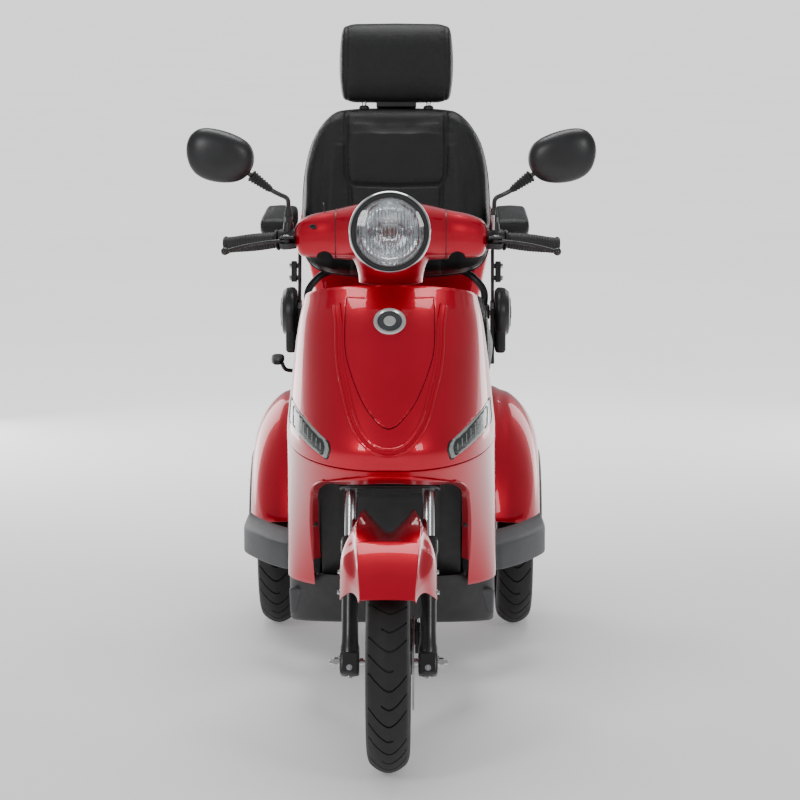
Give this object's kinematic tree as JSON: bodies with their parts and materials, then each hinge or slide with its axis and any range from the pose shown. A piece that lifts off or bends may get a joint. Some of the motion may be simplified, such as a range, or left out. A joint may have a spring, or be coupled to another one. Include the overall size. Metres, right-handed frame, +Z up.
{
  "type": "three-wheel mobility scooter",
  "caption": "Electric tricycle mobility scooter with a swivelling captain seat, telescopic front fork, painted fairing, headlight, mirrors and a rear top box.",
  "frame": {"origin": "on the ground, under the centre of the bounding box", "axes": "+Z up, the scooter faces -Y, +X is the rider's left"},
  "size_m": [0.8074, 1.749, 1.3957],
  "materials": {
    "body_red": "candy red paint under clear coat",
    "grey_plastic": "fine moulded grain",
    "black_plastic": "satin moulded",
    "black_metal": "satin powder coat",
    "steel": "bright",
    "trim_chrome": "polished",
    "cast_alloy": "silver cast",
    "grip_rubber": "ribbed",
    "tyre_rubber": "treaded",
    "black_leather": "grained upholstery",
    "clear_lens": "fluted clear",
    "smoked_lens": "smoked",
    "red_lens": "translucent red"
  },
  "bodies": {
    "root": {"frame": "black_metal", "floor_pan": "grey_plastic", "front_shield": "body_red", "shield_panel": "body_red", "lower_fairing": "body_red", "leg_shield": "grey_plastic", "position_lamp_left": "smoked_lens", "position_lamp_right": "smoked_lens", "rear_body": "body_red", "rear_fender_left": "body_red", "rear_fender_right": "body_red", "side_skirt_left": "grey_plastic", "side_skirt_right": "grey_plastic", "battery_pack": "black_plastic", "rear_transaxle": "cast_alloy", "tail_lamp": "red_lens", "top_box": "body_red", "seat_post": "black_metal"},
    "lid": {"top_box_lid": "body_red"},
    "seat": {"seat_base": "black_metal", "seat_cushion": "black_leather", "recline_cover_left": "grey_plastic", "recline_cover_right": "grey_plastic"},
    "swivel_lever": {"seat_lever": "black_metal"},
    "backrest": {"backrest_cushion": "black_leather", "backrest_frame": "black_metal"},
    "headrest": {"headrest_posts": "steel", "headrest_cushion": "black_leather"},
    "armrest_left": {"armrest_arm_left": "black_metal", "armrest_pad_left": "black_leather"},
    "armrest_right": {"armrest_arm_right": "black_metal", "armrest_pad_right": "black_leather"},
    "steering": {"fork_crown": "black_metal", "handlebar": "black_metal", "headlight_nacelle": "body_red", "headlight_bezel": "trim_chrome", "headlight_lens": "clear_lens", "grip_left": "grip_rubber", "lever_bracket_left": "black_plastic", "lever_bracket_right": "black_plastic"},
    "key": {"key_switch": "steel"},
    "throttle": {"throttle_grip": "grip_rubber"},
    "lever_left": {"brake_lever_left": "black_metal"},
    "lever_right": {"brake_lever_right": "black_metal"},
    "mirror_stem_left": {"mirror_arm_left": "black_metal"},
    "mirror_stem_right": {"mirror_arm_right": "black_metal"},
    "mirror_head_left": {"mirror_shell_left": "black_plastic"},
    "mirror_head_right": {"mirror_shell_right": "black_plastic"},
    "fork_lower": {"fork_leg_left": "black_metal", "fork_leg_right": "black_metal", "front_fender": "body_red", "front_axle": "steel", "brake_caliper": "black_metal"},
    "front_wheel": {"front_tyre": "tyre_rubber", "front_rim": "cast_alloy", "brake_disc": "steel"},
    "rear_wheel_left": {"rear_tyre_left": "tyre_rubber", "rear_rim_left": "cast_alloy"},
    "rear_wheel_right": {"rear_tyre_right": "tyre_rubber", "rear_rim_right": "cast_alloy"}
  },
  "joints": [
    {"name": "steering_turn", "type": "hinge", "parent": "root", "child": "steering", "pos_m": [0, -0.63859, 0.1963], "axis": [0, 0.4067, 0.9135], "range_deg": [-40, 40]},
    {"name": "fork_travel", "type": "slide", "parent": "steering", "child": "fork_lower", "axis": [0, 0.4067, 0.9135], "range_m": [0, 0.04], "stiffness_N_per_m": 16000, "springref_m": -0.03},
    {"name": "front_wheel_spin", "type": "hinge", "parent": "fork_lower", "child": "front_wheel", "pos_m": [0, -0.666, 0.2085], "axis": [1, 0, 0], "continuous": true},
    {"name": "rear_wheel_left_spin", "type": "hinge", "parent": "root", "child": "rear_wheel_left", "pos_m": [0.2745, 0.484, 0.2085], "axis": [1, 0, 0], "continuous": true},
    {"name": "rear_wheel_right_spin", "type": "hinge", "parent": "root", "child": "rear_wheel_right", "pos_m": [-0.2745, 0.484, 0.2085], "axis": [1, 0, 0], "continuous": true},
    {"name": "throttle_twist", "type": "hinge", "parent": "steering", "child": "throttle", "pos_m": [-0.19, -0.30161, 0.986], "axis": [-0.975, 0.187, -0.1202], "range_deg": [0, 70], "stiffness_Nm_per_rad": 0.3, "springref_deg": -22.92},
    {"name": "brake_lever_left_pull", "type": "hinge", "parent": "steering", "child": "lever_left", "pos_m": [0.20852, -0.33206, 0.98372], "axis": [0, 0, 1], "range_deg": [0, 14], "stiffness_Nm_per_rad": 2, "springref_deg": -17.19},
    {"name": "brake_lever_right_pull", "type": "hinge", "parent": "steering", "child": "lever_right", "pos_m": [-0.20852, -0.33206, 0.98372], "axis": [0, 0, -1], "range_deg": [0, 14], "stiffness_Nm_per_rad": 2, "springref_deg": -17.19},
    {"name": "key_turn", "type": "hinge", "parent": "steering", "child": "key", "pos_m": [-0.135, -0.318, 1.033], "axis": [0, 0.3499, 0.9368], "range_deg": [0, 90]},
    {"name": "mirror_left_swivel", "type": "hinge", "parent": "steering", "child": "mirror_stem_left", "pos_m": [0.2056, -0.30262, 1.01848], "axis": [0, 0, 1], "range_deg": [-25, 25]},
    {"name": "mirror_left_tilt", "type": "hinge", "parent": "mirror_stem_left", "child": "mirror_head_left", "pos_m": [0.284, -0.322, 1.117], "axis": [0.823, -0.0514, 0.5658], "range_deg": [-20, 20]},
    {"name": "mirror_right_swivel", "type": "hinge", "parent": "steering", "child": "mirror_stem_right", "pos_m": [-0.2056, -0.30262, 1.01848], "axis": [0, 0, 1], "range_deg": [-25, 25]},
    {"name": "mirror_right_tilt", "type": "hinge", "parent": "mirror_stem_right", "child": "mirror_head_right", "pos_m": [-0.284, -0.322, 1.117], "axis": [-0.823, -0.0514, 0.5658], "range_deg": [-20, 20]},
    {"name": "top_box_lid_open", "type": "hinge", "parent": "root", "child": "lid", "pos_m": [0, 0.676, 0.912], "axis": [1, 0, 0], "range_deg": [0, 80]},
    {"name": "seat_swivel", "type": "hinge", "parent": "root", "child": "seat", "pos_m": [0, 0.24, 0.606], "axis": [0, 0, 1], "range_deg": [-90, 90]},
    {"name": "swivel_lever_lift", "type": "hinge", "parent": "seat", "child": "swivel_lever", "pos_m": [-0.232, 0.25, 0.632], "axis": [-1, 0, 0], "range_deg": [0, 20], "stiffness_Nm_per_rad": 1, "springref_deg": -17.19},
    {"name": "backrest_recline", "type": "hinge", "parent": "seat", "child": "backrest", "pos_m": [0, 0.44, 0.74], "axis": [-1, 0, 0], "range_deg": [-20, 25]},
    {"name": "headrest_height", "type": "slide", "parent": "backrest", "child": "headrest", "axis": [0, 0.2079, 0.9781], "range_m": [0, 0.05]},
    {"name": "armrest_left_flip", "type": "hinge", "parent": "backrest", "child": "armrest_left", "pos_m": [0.236, 0.49387, 0.89724], "axis": [-1, 0, 0], "range_deg": [0, 90]},
    {"name": "armrest_right_flip", "type": "hinge", "parent": "backrest", "child": "armrest_right", "pos_m": [-0.236, 0.49387, 0.89724], "axis": [-1, 0, 0], "range_deg": [0, 90]}
  ]
}
